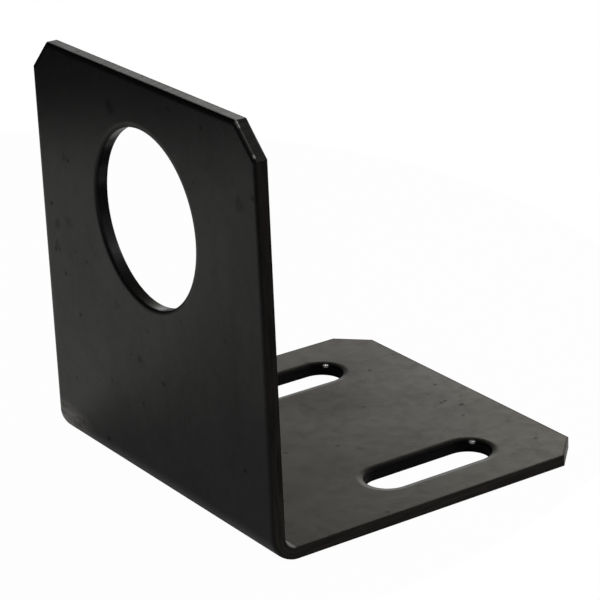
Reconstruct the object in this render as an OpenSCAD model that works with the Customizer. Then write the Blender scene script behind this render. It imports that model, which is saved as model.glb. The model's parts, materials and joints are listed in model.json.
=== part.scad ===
// Right-angle bracket folded from one strip of sheet steel: an upright with a
// round hole for a threaded sensor barrel, and a base with two adjusting slots.
// Seen from the front (along +Y) the upright shows its outer face, and the base
// runs away behind it. The origin is the middle of the footprint, on the floor.

/* [Sheet] */
// Thickness of the sheet
sheet_t = 2.2; // [1.2:0.1:4]
// Width of the strip, the same on the upright and the base
strip_w = 68.2; // [60:0.1:120]
// Inside radius of the fold
bend_r = 2.3; // [1:0.1:6]
// Width of the rim that a punch draws over, on the face that it entered
roll_w = 1; // [0.6:0.1:2]
// Depth of that rim where it meets the cut wall
roll_h = 0.2; // [0.1:0.05:0.6]
// Rounding of the outline's edges on the opposite face
edge_r = 0.1; // [0.1:0.05:0.5]

/* [Upright] */
// Height of the upright, from the underside of the base
upright_h = 73; // [50:0.5:130]
// Length clipped off each top corner, along both of its edges
upright_clip = 5.3; // [1:0.1:10]
// Diameter of the sensor hole
sensor_d = 30.5; // [12:0.5:40]
// Distance from the top edge down to the sensor hole's axis
sensor_drop = 23.7; // [19:0.1:48]

/* [Base] */
// Length of the base, from the outer face of the upright
base_l = 64.6; // [58:0.1:120]
// Length clipped off each free corner, along both of its edges
base_clip = 5.3; // [1:0.1:10]
// Length of a slot, end to end
slot_l = 24.8; // [12:0.1:34]
// Width of a slot
slot_w = 8.2; // [4:0.1:11]
// Distance between the centre lines of the two slots
slot_spacing = 44; // [20:0.5:54]
// Distance from the outer face of the upright to the middle of the slots
slot_y = 39.5; // [22:0.1:48]

/* [Hidden] */
// Outside radius of the fold
bend_out = bend_r + sheet_t;
// Radius of the arc that a drawn-over rim follows
roll_r = (roll_w * roll_w + roll_h * roll_h) / (2 * roll_h);
// Outer face of the upright and free end of the base, about the origin
front_y = -base_l / 2;
back_y = base_l / 2;
// How far a cutter runs past the face that it opens
cut_over = 1;
$fn = 96;

// Waste along a punched rim: the wall is x = 0 with metal at x < 0, and the punch came in at y = 0
module roll_waste() {
  difference() {
    translate([-roll_w, -cut_over])
      square([roll_w + cut_over, cut_over + roll_h]);
    translate([-roll_w, roll_r])
      circle(roll_r);
  }
}

// Waste along the opposite rim of that wall
module edge_waste() {
  difference() {
    translate([-edge_r, sheet_t - edge_r])
      square(edge_r + cut_over);
    translate([-edge_r, sheet_t - edge_r])
      circle(edge_r);
  }
}

// Cross-section of the strip: its width lies along x, its outer face is y = 0
module strip_section() {
  difference() {
    translate([-strip_w / 2, 0])
      square([strip_w, sheet_t]);
    for (side = [0, 1])
      mirror([side, 0])
        translate([strip_w / 2, 0]) {
          roll_waste();
          edge_waste();
        }
  }
}

// The strip carried up the upright, round the fold and along the base
module folded_strip() {
  translate([0, front_y, bend_out])
    linear_extrude(upright_h - bend_out)
      strip_section();
  translate([0, front_y + bend_out, bend_out])
    rotate([-90, 0, 0])
      rotate([0, 90, 0])
        rotate_extrude(angle = 90)
          translate([bend_out, 0])
            rotate(90)
              strip_section();
  translate([0, back_y, 0])
    rotate([90, 0, 0])
      linear_extrude(base_l - bend_out)
        strip_section();
}

// Shear along one straight edge: takes off all that lies past x = 0, and shapes both rims
module edge_shear(reach) {
  linear_extrude(2 * strip_w, center = true) {
    translate([0, -cut_over])
      square([reach, sheet_t + 2 * cut_over]);
    roll_waste();
    edge_waste();
  }
}

// Shears for the free end of a leg that ends at y = 0, with its outer face on z = 0
module end_shears(clip) {
  rotate([0, 0, 90])
    rotate([90, 0, 0])
      edge_shear(clip);
  for (side = [-1, 1])
    translate([side * strip_w / 2, -clip, 0])
      rotate([0, 0, 90 - side * 45])
        rotate([90, 0, 0])
          edge_shear(clip);
}

// Half outline of a punched opening: radius along x, the punch came in at y = sheet_t
module punch_outline(r) {
  translate([0, -cut_over])
    square([r, sheet_t + 2 * cut_over]);
  translate([r, sheet_t])
    rotate(180)
      roll_waste();
}

// Cutter for a round hole, through a sheet that lies on z = 0
module punched_hole(d) {
  rotate_extrude()
    punch_outline(d / 2);
}

// Cutter for a slot along y, through a sheet that lies on z = 0
module punched_slot(l, w) {
  straight = l - w;
  for (end = [-1, 1])
    translate([0, end * straight / 2, 0])
      punched_hole(w);
  rotate([90, 0, 0])
    linear_extrude(straight, center = true)
      for (side = [0, 1])
        mirror([side, 0])
          punch_outline(w / 2);
}

module bracket() {
  color("#2c2c2e")
    difference() {
      folded_strip();
      translate([0, back_y, 0])
        end_shears(base_clip);
      translate([0, front_y, upright_h])
        rotate([90, 0, 180])
          end_shears(upright_clip);
      translate([0, front_y + sheet_t, upright_h - sensor_drop])
        rotate([90, 0, 0])
          punched_hole(sensor_d);
      for (side = [-1, 1])
        translate([side * slot_spacing / 2, front_y + slot_y, 0])
          punched_slot(slot_l, slot_w);
    }
}

bracket();
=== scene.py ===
import json
import math

import bmesh
import bpy
from mathutils import Matrix, Vector


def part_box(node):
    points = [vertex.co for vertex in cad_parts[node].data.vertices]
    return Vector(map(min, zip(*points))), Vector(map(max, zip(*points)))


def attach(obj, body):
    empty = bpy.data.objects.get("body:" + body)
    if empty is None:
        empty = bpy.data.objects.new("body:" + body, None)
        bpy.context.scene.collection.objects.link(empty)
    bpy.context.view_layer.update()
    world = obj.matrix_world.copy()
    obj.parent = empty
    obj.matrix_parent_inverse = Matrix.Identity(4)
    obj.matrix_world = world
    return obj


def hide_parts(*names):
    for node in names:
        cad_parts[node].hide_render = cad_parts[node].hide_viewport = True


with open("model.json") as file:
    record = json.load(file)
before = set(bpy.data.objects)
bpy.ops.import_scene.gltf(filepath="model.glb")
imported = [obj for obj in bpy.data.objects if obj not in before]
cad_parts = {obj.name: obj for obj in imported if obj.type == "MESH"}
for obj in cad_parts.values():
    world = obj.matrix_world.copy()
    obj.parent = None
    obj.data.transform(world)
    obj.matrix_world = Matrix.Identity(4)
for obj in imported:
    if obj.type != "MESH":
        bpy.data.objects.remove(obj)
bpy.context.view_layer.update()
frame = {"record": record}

MM = 0.001

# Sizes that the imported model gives
NODE = "bracket"
LOW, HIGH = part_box(NODE)
MOUNTS = {mount["name"]: mount for mount in frame["record"]["mounts"]}
STRIP_W = HIGH.x - LOW.x
UPRIGHT_H = HIGH.z - LOW.z
BASE_L = HIGH.y - LOW.y
FRONT_Y = LOW.y
SENSOR_R = MOUNTS["sensor_hole"]["dims"]["r_mm"] * MM
SENSOR_H = MOUNTS["sensor_hole"]["pos_m"][2]
SLOTS = [MOUNTS["base_slot_left"], MOUNTS["base_slot_right"]]

# Sizes of the sheet
SHEET_T = 2.2 * MM
BEND_R = 2.3 * MM
UPRIGHT_CLIP = 5.3 * MM
BASE_CLIP = 5.3 * MM
CORNER_R = 0.2 * MM

# Rims that a shear or punch drew over: width and depth of the arc, and the crease that ends it
ROLL_W = 1.0 * MM
ROLL_H = 0.2 * MM
CREASE_R = 0.06 * MM
SLOT_ROLL_W = 1.4 * MM
SLOT_ROLL_H = 0.25 * MM
SLOT_CREASE_R = 0.3 * MM

# Rims on the opposite face, of the outline and of the openings
EDGE_R = 0.1 * MM
BURR_R = 0.05 * MM

# Wear is 1 on a rim's sharpest line, less where its round or its drawn-over arc ends, and 0 past this band
ROUND_WEAR = 0.5
ARC_WEAR = 0.3
WEAR_BAND = 0.35 * MM

# How deeply a wall is scored by its cut
SHEARED = 1.0
PUNCHED = 0.1

# Fineness of the mesh
ROLL_STEPS = 10
ROUND_STEPS = 5
CORNER_STEPS = 3
HOLE_STEPS = 160
SLOT_END_STEPS = 28
BEND_STEPS = 24
TINY = 0.001 * MM

# Material slot of the dull walls; all the rest is in slot 0
DULL = 1

# The strip laid flat: s runs from the top of the upright to the free end of the base
BEND_OUT = BEND_R + SHEET_T
UPRIGHT_S = UPRIGHT_H - BEND_OUT
BEND_S = (BEND_R + SHEET_T / 2) * math.pi / 2
BASE_S = BASE_L - BEND_OUT
STRIP_S = UPRIGHT_S + BEND_S + BASE_S


def flat_from_base(y):
    """Place along the flat strip of a point on the base at this y."""
    return UPRIGHT_S + BEND_S + y - FRONT_Y - BEND_OUT


def fold(u, s, w):
    """Carries a point of the flat strip, at depth w below its outer face, to its place on the bracket."""
    if s <= UPRIGHT_S:
        return Vector((u, FRONT_Y + w, UPRIGHT_H - s))
    if s >= UPRIGHT_S + BEND_S:
        return Vector((u, FRONT_Y + BEND_OUT + s - UPRIGHT_S - BEND_S, w))
    angle = (s - UPRIGHT_S) / BEND_S * math.pi / 2
    radius = BEND_OUT - w
    return Vector((
        u,
        FRONT_Y + BEND_OUT - radius * math.cos(angle),
        BEND_OUT - radius * math.sin(angle),
    ))


def end_corners(inset, clip):
    """The four corners at one end of the flat strip, from right to left, with s from that end."""
    reach = clip + inset * (math.sqrt(2) - 1)
    half = STRIP_W / 2
    right = [(half - inset, reach), (half - reach, inset)]
    return right + [(-u, s) for u, s in reversed(right)]


def round_corners(corners):
    """Rounds each corner of a closed outline."""
    points = []
    for i, corner in enumerate(corners):
        here = Vector(corner)
        back = (Vector(corners[i - 1]) - here).normalized()
        ahead = (Vector(corners[(i + 1) % len(corners)]) - here).normalized()
        half = back.angle(ahead) / 2
        middle = here + (back + ahead).normalized() * (CORNER_R / math.sin(half))
        start = here + back * (CORNER_R / math.tan(half)) - middle
        end = here + ahead * (CORNER_R / math.tan(half)) - middle
        for k in range(CORNER_STEPS + 1):
            points.append(tuple(middle + start.slerp(end, k / CORNER_STEPS) * CORNER_R))
    return points


def outline_loop(inset):
    """Outline of the flat strip, with its four corners clipped, moved in by inset."""
    top = end_corners(inset, UPRIGHT_CLIP)
    free = end_corners(inset, BASE_CLIP)
    return round_corners(top + [(u, STRIP_S - s) for u, s in reversed(free)])


def hole_loop(inset):
    """Circle of the sensor hole, grown by inset."""
    radius = SENSOR_R + inset
    turns = [math.tau * i / HOLE_STEPS for i in range(HOLE_STEPS)]
    return [(radius * math.cos(a), UPRIGHT_H - SENSOR_H + radius * math.sin(a)) for a in turns]


def slot_loop(mount):
    """Gives the function that returns a slot's outline, grown by its inset."""
    u0 = mount["pos_m"][0]
    s0 = flat_from_base(mount["pos_m"][1])
    end_r = mount["dims"]["hole_r_mm"] * MM
    reach = mount["dims"]["slot_length_mm"] * MM / 2 - end_r

    def loop(inset):
        radius = end_r + inset
        points = []
        for start, middle in ((0, s0 + reach), (math.pi, s0 - reach)):
            for i in range(SLOT_END_STEPS + 1):
                a = start + math.pi * i / SLOT_END_STEPS
                points.append((u0 + radius * math.cos(a), middle + radius * math.sin(a)))
        return points

    return loop


def rounded_rim(radius):
    """Quarter-round rim as (inset, depth, wear) steps, from the face into the wall."""
    steps = [(radius + WEAR_BAND, 0.0, 0.0)]
    for i in range(ROUND_STEPS + 1):
        a = math.pi / 2 * i / ROUND_STEPS
        wear = ROUND_WEAR + (1.0 - ROUND_WEAR) * math.sin(2 * a)
        steps.append((radius * (1 - math.sin(a)), radius * (1 - math.cos(a)), wear))
    steps.append((0.0, radius + WEAR_BAND, 0.0))
    return steps


def rolled_rim(roll_w, roll_h, crease_r):
    """Rim drawn over by the punch: a shallow arc from the face, then a crease into the cut wall."""
    arc_r = (roll_w ** 2 + roll_h ** 2) / (2 * roll_h)
    last = math.asin(roll_w / arc_r) - crease_r / arc_r
    steps = [(roll_w + WEAR_BAND, 0.0, 0.0)]
    for i in range(ROLL_STEPS + 1):
        a = last * i / ROLL_STEPS
        steps.append((roll_w - arc_r * math.sin(a), arc_r * (1 - math.cos(a)), ARC_WEAR * i / ROLL_STEPS))
    start = steps[-1]
    for i in range(1, ROUND_STEPS + 1):
        k = i / ROUND_STEPS
        inset = start[0] * (1 - k) ** 2
        depth = start[1] * (1 - k) ** 2 + roll_h * 2 * k * (1 - k) + (roll_h + crease_r) * k ** 2
        steps.append((inset, depth, 1.0 - (1.0 - ROUND_WEAR) * k))
    steps.append((0.0, roll_h + crease_r + WEAR_BAND, 0.0))
    return steps


def wall_profile(outer_rim, inner_rim):
    """Steps through the sheet, from its outer face to its inner one."""
    return outer_rim + [(inset, SHEET_T - depth, wear) for inset, depth, wear in reversed(inner_rim)]


def on_long_side(vert, layers):
    """Whether a point of the flat strip lies on one of its two long cut sides."""
    return abs(vert.co.x) > STRIP_W / 2 - TINY


def in_slot(vert, layers):
    """Whether a point of a slot's rims and wall lies below its drawn-over arc."""
    return vert[layers["cut"]] > 0.0 or vert[layers["wear"]] > ARC_WEAR


def nowhere(vert, layers):
    """For a wall that is glossy all round."""
    return False


def add_wall(bm, layers, loop, profile, scoring, is_dull):
    """Adds the wall round one outline, and returns its rings on the two faces.

    The cut scored it by scoring, and its coat is dull where is_dull says so.
    """
    rings = []
    for inset, depth, wear in profile:
        ring = [bm.verts.new((u, s, depth)) for u, s in loop(inset)]
        for vert in ring:
            vert[layers["wear"]] = wear
            vert[layers["cut"]] = scoring if inset == 0.0 else 0.0
        rings.append(ring)
    for ring, after in zip(rings, rings[1:]):
        for i, vert in enumerate(ring):
            j = (i + 1) % len(ring)
            corners = (vert, ring[j], after[j], after[i])
            face = bm.faces.new(corners)
            if all(is_dull(corner, layers) for corner in corners):
                face.material_index = DULL
    return rings[0], rings[-1]


def add_walls(bm, layers):
    """Adds every cut wall of the flat strip, and returns the rings of each."""
    drawn_rim = rolled_rim(ROLL_W, ROLL_H, CREASE_R)
    slot_rim = rolled_rim(SLOT_ROLL_W, SLOT_ROLL_H, SLOT_CREASE_R)
    outline_profile = wall_profile(drawn_rim, rounded_rim(EDGE_R))
    hole_profile = wall_profile(drawn_rim, rounded_rim(BURR_R))
    slot_profile = wall_profile(rounded_rim(BURR_R), slot_rim)
    walls = [
        add_wall(bm, layers, outline_loop, outline_profile, SHEARED, on_long_side),
        add_wall(bm, layers, hole_loop, hole_profile, PUNCHED, nowhere),
    ]
    for mount in SLOTS:
        walls.append(add_wall(bm, layers, slot_loop(mount), slot_profile, PUNCHED, in_slot))
    return walls


def fill_face(bm, rings):
    """Fills one face of the flat strip between its outline and its openings."""
    edges = []
    for ring in rings:
        for i, vert in enumerate(ring):
            edges.append(bm.edges.get((vert, ring[(i + 1) % len(ring)])))
    bmesh.ops.triangle_fill(bm, use_beauty=True, edges=edges)


def cut_across_fold(bm):
    """Cuts the flat strip across in even steps, so that the fold comes out round."""
    for i in range(BEND_STEPS + 1):
        everything = bm.verts[:] + bm.edges[:] + bm.faces[:]
        place = (0, UPRIGHT_S + BEND_S * i / BEND_STEPS, 0)
        bmesh.ops.bisect_plane(bm, geom=everything, plane_co=place, plane_no=(0, 1, 0))


def bracket_mesh():
    """The bracket: a flat strip with its openings, folded. Each point keeps its flat place, in mm."""
    bm = bmesh.new()
    layers = {name: bm.verts.layers.float.new(name) for name in ("wear", "cut")}
    flat = bm.verts.layers.float_vector.new("flat")
    walls = add_walls(bm, layers)
    fill_face(bm, [first for first, last in walls])
    fill_face(bm, [last for first, last in walls])
    cut_across_fold(bm)
    for vert in bm.verts:
        vert[flat] = vert.co / MM
        vert.co = fold(*vert.co)
    bmesh.ops.recalc_face_normals(bm, faces=bm.faces[:])
    mesh = bpy.data.meshes.new("folded_bracket")
    bm.to_mesh(mesh)
    bm.free()
    mesh.shade_smooth()
    return mesh


class Nodes:
    """Short hand for building one shader tree."""

    def __init__(self, tree):
        self.tree = tree
        tree.nodes.clear()

    def add(self, kind, inputs=None, **settings):
        """Adds a node, sets its properties, and links or sets its inputs."""
        made = self.tree.nodes.new("ShaderNode" + kind)
        for name, value in settings.items():
            setattr(made, name, value)
        for name, value in (inputs or {}).items():
            if isinstance(value, bpy.types.NodeSocket):
                self.tree.links.new(value, made.inputs[name])
            else:
                made.inputs[name].default_value = value
        return made


NOISE_ROUGHNESS = 0.6
EVEN = (1, 1, 1)


def calc(n, operation, *values):
    """Result of one Math node."""
    return n.add("Math", dict(enumerate(values)), operation=operation).outputs[0]


def times(n, *values):
    """Product of values."""
    product = values[0]
    for value in values[1:]:
        product = calc(n, "MULTIPLY", product, value)
    return product


def rest_of(n, value):
    """What value leaves of one."""
    return calc(n, "SUBTRACT", 1.0, value)


def fade(n, value, start, end, low, high):
    """Soft step from low to high while value runs from start to end."""
    return n.add("MapRange", {
        "Value": value, "From Min": start, "From Max": end, "To Min": low, "To Max": high,
    }, interpolation_type="SMOOTHSTEP").outputs["Result"]


def blend(n, share, first, second):
    """Colour that goes from first to second."""
    return n.add("Mix", {0: share, 6: first, 7: second}, data_type="RGBA").outputs[2]


def noise(n, place, scale, detail, stretch=EVEN):
    """Noise with scale in cycles a millimetre."""
    placed = n.add("Mapping", {"Vector": place, "Scale": stretch}).outputs[0]
    return n.add("TexNoise", {
        "Vector": placed, "Scale": scale, "Detail": detail, "Roughness": NOISE_ROUGHNESS,
    }).outputs["Fac"]


def pattern(n, place, kind, step):
    """Noise of one kind, taken through a soft step."""
    return fade(n, noise(n, place, *kind), *step)


# Finish of the bracket, as linear colour
COAT_BLACK = (0.005, 0.005, 0.0054, 1)
CUT_GREY = (0.022, 0.022, 0.021, 1)
CUT_BROWN = (0.034, 0.031, 0.027, 1)
FILM_BROWN = (0.012, 0.0105, 0.0075, 1)
# The light grey next is a painted highlight for the left end of the fold, not a colour of the steel
PAINTED_HIGHLIGHT_GREY = (0.42, 0.4, 0.37, 1)
BARE_STEEL = (0.8, 0.79, 0.77, 1)

# Strength of the satin coat and of the shine under it, on the faces and on the dull walls
FACE_COAT = 1.0
FACE_SHINE = 0.1
DULL_COAT = 0.04
DULL_SHINE = 0.03
COAT_ROUGHNESS = 0.22

# Scores of a cut, drawn out through the sheet or along the strip
SCORED_THROUGH = (1, 1, 0.06)
SCORED_ALONG = (1, 0.06, 1)
SCORE_SCALE = 2.2
SCORE_DETAIL = 3.0
SCORE_RELIEF = 1.5

# Noises over the flat strip, each as (cycles a millimetre, detail, stretch)
CLOUD_NOISE = (0.05, 3.0, (1, 0.7, 1))
STREAK_NOISE = (0.3, 2.0, (1, 0.1, 1))
MOTTLE_NOISE = (0.5, 4.0, EVEN)
BLOTCH_NOISE = (0.4, 5.0, EVEN)
FILM_NOISE = (0.1, 4.0, EVEN)
SATIN_NOISE = (0.25, 3.0, EVEN)
GRAIN_NOISE = (3.5, 2.0, EVEN)
# The next noise frays the edge of the painted highlight on the fold's end
PAINTED_HIGHLIGHT_NOISE = (0.9, 4.0, (0.4, 1, 1))

# Soft steps of the finish, each as (start, end, low, high)
SCORE_COLOUR = (0.35, 0.65, 0.5, 1.0)
SCORE_TEAR = (0.35, 0.65, 0.55, 0.2)
CLOUD_COAT = (0.36, 0.6, 0.86, 1.0)
STREAK_COAT = (0.3, 0.5, 0.93, 1.0)
MOTTLE_COAT = (0.3, 0.65, 0.85, 1.0)
BLOTCH_LOSS = (0.34, 0.58, 0.3, 0.0)
RIM_COAT = (0.0, ARC_WEAR, 1.0, 0.3)
FOLD_COAT = (0.0, 1.0, 1.0, 0.45)
FILM_PATCHES = (0.3, 0.7, 0.5, 1.0)
SATIN_ROUGHNESS = (0.3, 0.7, 0.32, 0.42)
# The next step frays the edge of the painted highlight on the fold's end
PAINTED_HIGHLIGHT_RAGGED = (0.35, 0.6, 0.25, 1.0)
BARE_RIM = (0.1, 0.5, 0.0, 1.0)
SPECK_CHOSEN = (0.6, 0.64, 0.0, 1.0)
SPECK_DOT = (0.04, 0.18, 1.0, 0.0)

# Other amounts: coat lost at a mark, roughness added where metal is bare, and the fine relief
MARK_LOSS = 0.8
BARE_ROUGHNESS = -0.05
BUMP_STRENGTH = 0.12
BUMP_DEPTH = 0.02 * MM

# Lengths on the flat strip, in millimetres: where the inner face, the fold and the film fade in
INNER_START = 0.06
INNER_FULL = 0.01
FOLD_SOFTNESS = 1
FILM_REACH = 6

# Cells of the specks a millimetre, and the share of a spot's size that is full strength
SPECK_CELLS = 0.3
SPOT_CORE = 0.3

# Bare metal on the right clipped corner of the upright, as (share of its length, size in mm, strength)
CLIP_WEAR = (
    (0.5, 4.2, 0.13),
    (0.05, 0.6, 1.0),
    (0.14, 0.5, 1.0),
    (0.87, 0.5, 0.9),
)

# Bare metal at the free end of each slot: the angle round the end, size in mm and strength
GLINT_ANGLE = math.radians(130)
GLINT_SIZE = 0.7
GLINT_STRENGTH = 1.0

# Painted highlight, light grey, along the left end of the fold's outer face, where the bend mirrors the lit
# table: in millimetres on the flat strip, and its strength
PAINTED_HIGHLIGHT_S = 69.0
PAINTED_HIGHLIGHT_WIDTH = 3.6
PAINTED_HIGHLIGHT_LENGTH = 14.0
PAINTED_HIGHLIGHT_STRENGTH = 0.85

# Soft dark smudges on the upright's outer face, as (u, s, size, strength), with lengths in millimetres
OUTER_SMUDGES = (
    (-8.6, 6.6, 1.7, 0.8),
    (-25.5, 19.5, 1.1, 0.4),
    (-29.6, 32.7, 1.5, 0.5),
    (-25.5, 31.2, 1.8, 0.3),
    (-30.0, 36.6, 1.4, 0.5),
    (-10.9, 41.8, 1.3, 0.3),
    (-4.4, 49.7, 1.8, 0.3),
    (29.0, 13.3, 1.8, 0.4),
)

# Broad faint smudges on the top of the base, in the same form
INNER_SMUDGES = (
    (-11.0, 110.5, 12.0, 0.4),
    (-22.0, 121.0, 9.0, 0.2),
    (12.0, 97.0, 9.0, 0.15),
)

# How far a smudge's edge wanders, in millimetres, and the noise that moves it
SMUDGE_WANDER = 2.0
SMUDGE_SCALE = 0.9
SMUDGE_DETAIL = 3.0


def speck_mask(n, flat):
    """A few small specks, scattered."""
    cells = n.add("TexVoronoi", {"Vector": flat, "Scale": SPECK_CELLS}).outputs
    draw = n.add("SeparateColor", {0: cells["Color"]}).outputs[0]
    return times(n, fade(n, draw, *SPECK_CHOSEN), fade(n, cells["Distance"], *SPECK_DOT))


def inner_face(n, axes):
    """The sheet's inner face: the back of the upright, the inside of the fold and the top of the base."""
    inner = SHEET_T / MM
    return fade(n, axes["Z"], inner - INNER_START, inner - INNER_FULL, 0.0, 1.0)


def fold_mask(n, flat):
    """The inside of the fold."""
    axes = n.add("SeparateXYZ", {0: flat}).outputs
    half = BEND_S / 2 / MM
    past = calc(n, "SUBTRACT", axes["Y"], UPRIGHT_S / MM + half)
    away = calc(n, "ABSOLUTE", past)
    return times(n, inner_face(n, axes), fade(n, away, half - FOLD_SOFTNESS, half + FOLD_SOFTNESS, 1.0, 0.0))


def film_mask(n, flat):
    """Patchy film of old oil on the upper face of the base."""
    axes = n.add("SeparateXYZ", {0: flat}).outputs
    fold_s = (UPRIGHT_S + BEND_S / 2) / MM
    on_base = fade(n, axes["Y"], fold_s, fold_s + FILM_REACH, 0.0, 1.0)
    return times(n, on_base, inner_face(n, axes), pattern(n, flat, FILM_NOISE, FILM_PATCHES))


def spot_mask(n, place, spots):
    """Soft round spots, each given as (centre, size, strength)."""
    mask = None
    for centre, size, strength in spots:
        away = n.add("VectorMath", {0: place, 1: centre}, operation="DISTANCE").outputs["Value"]
        spot = fade(n, away, size * SPOT_CORE, size, strength, 0.0)
        mask = spot if mask is None else calc(n, "MAXIMUM", mask, spot)
    return mask


def smudge_mask(n, flat):
    """The smudges, with ragged edges."""
    wandering = {"Vector": flat, "Scale": SMUDGE_SCALE, "Detail": SMUDGE_DETAIL}
    ragged = n.add("TexNoise", wandering).outputs["Color"]
    wander = (SMUDGE_WANDER, SMUDGE_WANDER, 0.0)
    moved = n.add("VectorMath", {0: ragged, 1: wander, 2: flat}, operation="MULTIPLY_ADD").outputs[0]
    shift = SMUDGE_WANDER / 2
    spots = []
    for w, smudges in ((0.0, OUTER_SMUDGES), (SHEET_T / MM, INNER_SMUDGES)):
        for u, s, size, strength in smudges:
            spots.append(((u + shift, s + shift, w), size, strength))
    return spot_mask(n, moved, spots)


def painted_highlight_mask(n, flat):
    """Painted highlight on the left end of the fold, drawn out along it and ragged."""
    squeeze = PAINTED_HIGHLIGHT_WIDTH / PAINTED_HIGHLIGHT_LENGTH
    squeezed = n.add("Mapping", {"Vector": flat, "Scale": (squeeze, 1, 1)}).outputs[0]
    # Painted highlight: a soft spot at the fold's left end
    end = (-STRIP_W / 2 / MM * squeeze, PAINTED_HIGHLIGHT_S, 0.0)
    highlight_spot = spot_mask(n, squeezed, [(end, PAINTED_HIGHLIGHT_WIDTH, PAINTED_HIGHLIGHT_STRENGTH)])
    return times(n, highlight_spot, pattern(n, flat, PAINTED_HIGHLIGHT_NOISE, PAINTED_HIGHLIGHT_RAGGED))


def clip_spots():
    """Worn places on the upright's right clipped corner, on its drawn-over rim."""
    clip = UPRIGHT_CLIP / MM
    corner = STRIP_W / 2 / MM - clip
    spots = []
    for along, size, strength in CLIP_WEAR:
        spots.append(((corner + along * clip, along * clip, ROLL_H / MM), size, strength))
    return spots


def slot_spots():
    """One worn place on the rim of each slot's free end."""
    spots = []
    for mount in SLOTS:
        end_r = mount["dims"]["hole_r_mm"]
        u = mount["pos_m"][0] / MM + end_r * math.cos(GLINT_ANGLE)
        s = flat_from_base(mount["pos_m"][1]) / MM + mount["dims"]["slot_length_mm"] / 2
        s += end_r * (math.sin(GLINT_ANGLE) - 1)
        spots.append(((u, s, (SHEET_T - SLOT_ROLL_H) / MM), GLINT_SIZE, GLINT_STRENGTH))
    return spots


def wear_mask(n, flat, rim):
    """Bare metal on a few rims: a faint line and chips on a clipped corner, and bright slot ends."""
    worn = spot_mask(n, flat, clip_spots() + slot_spots())
    return times(n, worn, fade(n, rim, *BARE_RIM))


def coat_colour(n, flat, film, scored, worn, cut_colour):
    """Black, with the film, the painted highlight at the fold's end, the scored walls and the bare metal
    laid over it.
    """
    filmed = blend(n, film, COAT_BLACK, FILM_BROWN)
    # Painted highlight: light grey laid on the left end of the fold
    highlighted = blend(n, painted_highlight_mask(n, flat), filmed, PAINTED_HIGHLIGHT_GREY)
    painted = blend(n, scored, highlighted, cut_colour)
    return blend(n, worn, painted, BARE_STEEL)


def coat_weight(n, flat, film, rim, torn, worn, coat):
    """The satin coat: uneven, thin on rims and in the fold, and lost at marks, scores and bare metal."""
    clouds = pattern(n, flat, CLOUD_NOISE, CLOUD_COAT)
    streaks = pattern(n, flat, STREAK_NOISE, STREAK_COAT)
    mottle = pattern(n, flat, MOTTLE_NOISE, MOTTLE_COAT)
    blotches = times(n, film, pattern(n, flat, BLOTCH_NOISE, BLOTCH_LOSS))
    marks = calc(n, "MAXIMUM", smudge_mask(n, flat), speck_mask(n, flat))
    lost = calc(n, "MULTIPLY_ADD", marks, MARK_LOSS, blotches)
    thin = fade(n, rim, *RIM_COAT)
    folded = fade(n, fold_mask(n, flat), *FOLD_COAT)
    kept = times(n, rest_of(n, lost), rest_of(n, torn), rest_of(n, worn))
    return times(n, clouds, streaks, mottle, thin, folded, kept, coat)


def coat_bump(n, flat, wall_scores):
    """Fine grain all over, and scores on the cut walls."""
    relief = calc(n, "MULTIPLY_ADD", wall_scores, SCORE_RELIEF, noise(n, flat, *GRAIN_NOISE))
    bump = n.add("Bump", {"Height": relief, "Strength": BUMP_STRENGTH, "Distance": BUMP_DEPTH})
    return bump.outputs["Normal"]


def coat_material(name, cut_colour, cut_stretch, coat, shine):
    """Satin black coat on sheet steel: mottling, fine grain, marks, wear, a painted highlight at the fold's
    end, and walls scored by the cut.
    """
    material = bpy.data.materials.new(name)
    material.use_nodes = True
    n = Nodes(material.node_tree)
    flat = n.add("Attribute", attribute_name="flat").outputs["Vector"]
    cut = n.add("Attribute", attribute_name="cut").outputs["Fac"]
    rim = n.add("Attribute", attribute_name="wear").outputs["Fac"]
    scores = noise(n, flat, SCORE_SCALE, SCORE_DETAIL, cut_stretch)
    scored = times(n, cut, fade(n, scores, *SCORE_COLOUR))
    torn = times(n, cut, fade(n, scores, *SCORE_TEAR))
    film = film_mask(n, flat)
    worn = wear_mask(n, flat, rim)
    satin = pattern(n, flat, SATIN_NOISE, SATIN_ROUGHNESS)
    bump = coat_bump(n, flat, times(n, cut, scores))
    shader = n.add("BsdfPrincipled", {
        "Base Color": coat_colour(n, flat, film, scored, worn, cut_colour),
        "Metallic": worn,
        "Roughness": calc(n, "MULTIPLY_ADD", worn, BARE_ROUGHNESS, satin),
        "Specular IOR Level": shine,
        "Coat Weight": coat_weight(n, flat, film, rim, torn, worn, coat),
        "Coat Roughness": COAT_ROUGHNESS,
        "Normal": bump,
        "Coat Normal": bump,
    })
    n.add("OutputMaterial", {"Surface": shader.outputs["BSDF"]})
    return material


# How far the larger faces rule the bracket's smooth normals, where 50 is neutral
NORMAL_WEIGHT = 100


def make_bracket():
    """The visible bracket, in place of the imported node."""
    piece = bpy.data.objects.new("bracket_sheet", bracket_mesh())
    bpy.context.scene.collection.objects.link(piece)
    smooth = piece.modifiers.new("weighted_normals", "WEIGHTED_NORMAL")
    smooth.weight = NORMAL_WEIGHT
    face_coat = coat_material("black_coat", CUT_GREY, SCORED_THROUGH, FACE_COAT, FACE_SHINE)
    dull_coat = coat_material("dull_coat", CUT_BROWN, SCORED_ALONG, DULL_COAT, DULL_SHINE)
    piece.data.materials.append(face_coat)
    piece.data.materials.append(dull_coat)
    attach(piece, "root")
    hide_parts(NODE)


# Camera, as the photograph was taken
CAMERA_AT = Vector((355.52, -238.58, 194.83)) * MM
CAMERA_AIM = Vector((1.35, -3.66, 28.47)) * MM
CAMERA_ROLL = math.radians(-2.505)
CAMERA_LENS = 161.44
CAMERA_SENSOR = 36


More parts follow.
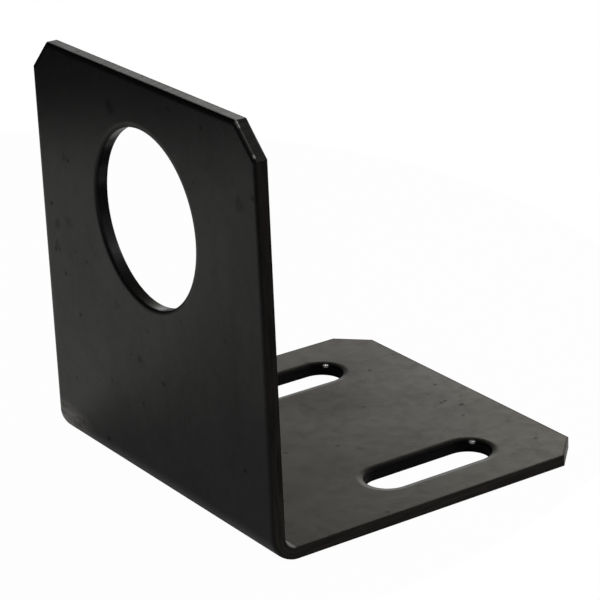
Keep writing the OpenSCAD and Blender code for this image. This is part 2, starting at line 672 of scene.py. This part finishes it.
def make_camera():
    """The camera, aimed and then rolled."""
    camera = bpy.data.objects.new("camera", bpy.data.cameras.new("camera"))
    bpy.context.scene.collection.objects.link(camera)
    camera.data.sensor_width = CAMERA_SENSOR
    camera.data.lens = CAMERA_LENS
    aim = (CAMERA_AIM - CAMERA_AT).to_track_quat("-Z", "Y").to_matrix()
    turned = aim @ Matrix.Rotation(CAMERA_ROLL, 3, "Z")
    camera.matrix_world = Matrix.Translation(CAMERA_AT) @ turned.to_4x4()
    bpy.context.scene.camera = camera


# Table top, and how white the camera and a reflection see it
FLOOR_R = 0.136
FLOOR_AT = (-0.083, -0.029, 0)
FLOOR_SIDES = 96
FLOOR_COLOUR = (0.79, 0.79, 0.79, 1)
CAMERA_SHARE = 0.98
GLOSS_SHARE = 0.05
WHITE = (1, 1, 1, 1)


def make_floor():
    """A round pale table top that the camera sees as white, with a trace of the shadow left on it."""
    bpy.ops.mesh.primitive_circle_add(
        vertices=FLOOR_SIDES, radius=FLOOR_R, fill_type="NGON", location=FLOOR_AT)
    floor = bpy.context.object
    floor.name = "floor"
    material = bpy.data.materials.new("pale_floor")
    material.use_nodes = True
    n = Nodes(material.node_tree)
    path = n.add("LightPath").outputs
    mirrored = calc(n, "MAXIMUM", path["Is Glossy Ray"], path["Is Transmission Ray"])
    share = times(n, mirrored, GLOSS_SHARE)
    shown = calc(n, "MULTIPLY_ADD", path["Is Camera Ray"], CAMERA_SHARE, share)
    pale = n.add("BsdfDiffuse", {"Color": FLOOR_COLOUR}).outputs[0]
    white = n.add("Emission", {"Color": WHITE, "Strength": 1.0}).outputs[0]
    mixed = n.add("MixShader", {0: shown, 1: pale, 2: white}).outputs[0]
    n.add("OutputMaterial", {"Surface": mixed})
    floor.data.materials.append(material)


# Levels of the world's light
ROOM_LEVEL = 0.015
SIDE_LEVEL = 0.16
FRONT_LEVEL = 0.7
BACKDROP_LEVEL = 1.3
WARM = (1.0, 0.925, 0.75, 1)

# Lean of the backdrop's edge, as a share of the height added to its depth
EDGE_LEAN = -0.6

# Soft steps over the parts of a direction, each as (start, end, low, high)
SIDE_DEPTH = (-0.1, 0.3, 0.0, SIDE_LEVEL)
BACK_DEPTH = (0.265, 0.355, 0.0, BACKDROP_LEVEL - SIDE_LEVEL)
BACK_LEFT = (0.1, 0.5, 1.0, 0.1)
BACK_TOP = (0.42, 0.66, 1.0, 0.03)
BACK_FOOT = (-0.05, 0.2, 0.0, 1.0)
FRONT_DEPTH = (-0.3, 0.0, FRONT_LEVEL, 0.0)
FRONT_RIGHT = (-0.4, 0.0, 0.0, 1.0)
FRONT_TOP = (0.05, 0.2, 1.0, 0.0)
FRONT_FOOT = (-0.38, -0.25, 0.0, 1.0)
WARM_HEIGHT = (0.28, 0.42, 0.0, 1.0)


def backdrop_light(n, axes):
    """A white backdrop low behind the bracket, dimmer beside it and to the right."""
    leaning = calc(n, "MULTIPLY_ADD", axes["Z"], EDGE_LEAN, axes["Y"])
    wall = calc(n, "ADD", fade(n, axes["Y"], *SIDE_DEPTH), fade(n, leaning, *BACK_DEPTH))
    height = times(n, fade(n, axes["Z"], *BACK_TOP), fade(n, axes["Z"], *BACK_FOOT))
    return times(n, wall, fade(n, axes["X"], *BACK_LEFT), height)


def front_light(n, axes):
    """A pale card low in front, which the upright's outer face mirrors in views from the front and left."""
    height = times(n, fade(n, axes["Z"], *FRONT_TOP), fade(n, axes["Z"], *FRONT_FOOT))
    return times(n, fade(n, axes["Y"], *FRONT_DEPTH), fade(n, axes["X"], *FRONT_RIGHT), height)


def make_world():
    """A dim room with the backdrop and the card, warmer higher up, that the camera sees as white."""
    world = bpy.data.worlds.new("studio")
    bpy.context.scene.world = world
    world.use_nodes = True
    n = Nodes(world.node_tree)
    place = n.add("TexCoord").outputs["Generated"]
    axes = n.add("SeparateXYZ", {0: place}).outputs
    around = calc(n, "ADD", backdrop_light(n, axes), front_light(n, axes))
    lit = calc(n, "ADD", around, ROOM_LEVEL)
    ray = n.add("LightPath").outputs["Is Camera Ray"]
    strength = calc(n, "MAXIMUM", ray, lit)
    warmth = times(n, fade(n, axes["Z"], *WARM_HEIGHT), rest_of(n, ray))
    shown = n.add("Background", {"Color": blend(n, warmth, WHITE, WARM), "Strength": strength}).outputs[0]
    n.add("OutputWorld", {"Surface": shown})


# Square lamps, as (name, place, aim, size, watts), with lengths in metres
LAMPS = (
    ("softbox", (0.28, 0.52, 0.38), (-0.04, -0.06, 0), 0.32, 2.1),
    ("key", (-0.03, -0.28, 0.80), (0, 0, 0.03), 0.1, 0.55),
)


def make_lamp(name, at, aim, size, watts):
    """One square lamp, turned to its aim."""
    lamp = bpy.data.objects.new(name, bpy.data.lights.new(name, "AREA"))
    bpy.context.scene.collection.objects.link(lamp)
    lamp.data.size = size
    lamp.data.energy = watts
    lamp.location = at
    lamp.rotation_euler = (Vector(aim) - Vector(at)).to_track_quat("-Z", "Y").to_euler()


make_camera()
make_bracket()
make_floor()
make_world()
for lamp in LAMPS:
    make_lamp(*lamp)

bpy.context.scene.view_settings.view_transform = "Standard"
